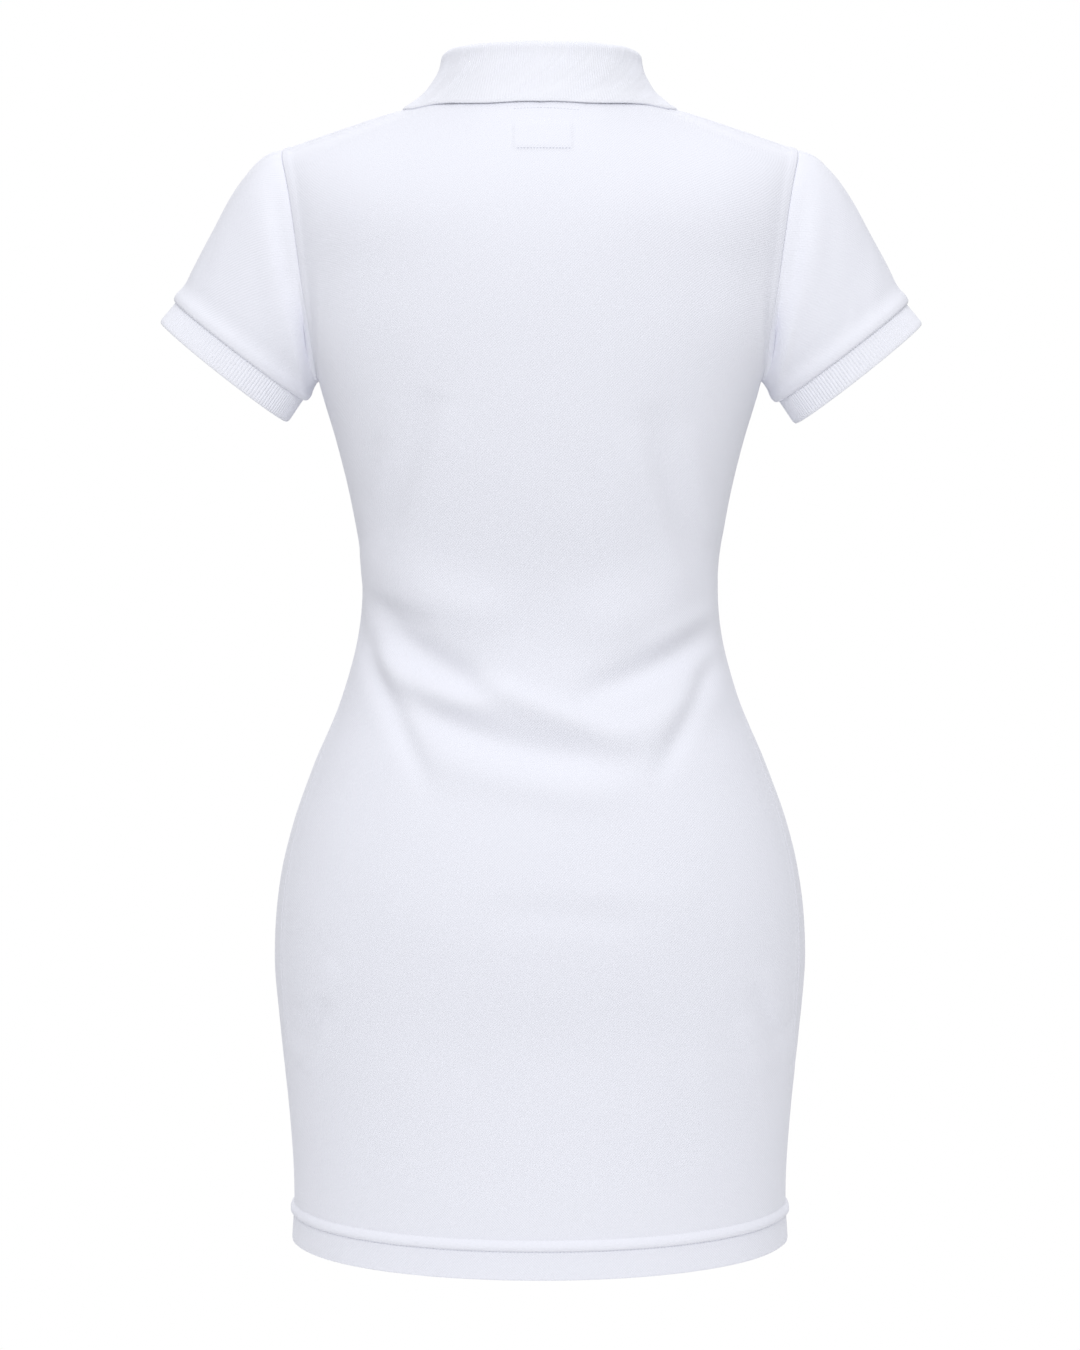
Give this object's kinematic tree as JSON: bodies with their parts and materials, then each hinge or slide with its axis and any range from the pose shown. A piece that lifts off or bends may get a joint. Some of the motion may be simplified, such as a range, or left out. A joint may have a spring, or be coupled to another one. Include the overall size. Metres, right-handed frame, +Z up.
{
  "type": "polo dress",
  "caption": "Short-sleeved fitted polo dress in white pique knit, filled out as worn, with a folded rib collar, buttoned placket, rib cuffs and a turned hem.",
  "frame": {"origin": "midway between the two side-neck points, at the height of the neck seam, where the shoulders carry the dress", "axes": "+Z up towards the collar, -Y towards the front with the placket, +X towards the wearer's left"},
  "size_m": [0.5238, 0.231, 0.8267],
  "materials": {
    "cloth": "matt white pique knit",
    "rib_knit": "matt white one-by-one rib knit",
    "button": "glossy white resin",
    "label": "plain white woven tape"
  },
  "bodies": {
    "root": {"back_panel": "cloth", "front_panel": "cloth", "sleeve_left": "cloth", "sleeve_right": "cloth", "placket_over": "cloth", "placket_under": "cloth", "collar": "rib_knit", "cuff_left": "rib_knit", "cuff_right": "rib_knit", "button_1": "button", "button_2": "button", "button_3": "button", "neck_label": "label"}
  },
  "joints": []
}
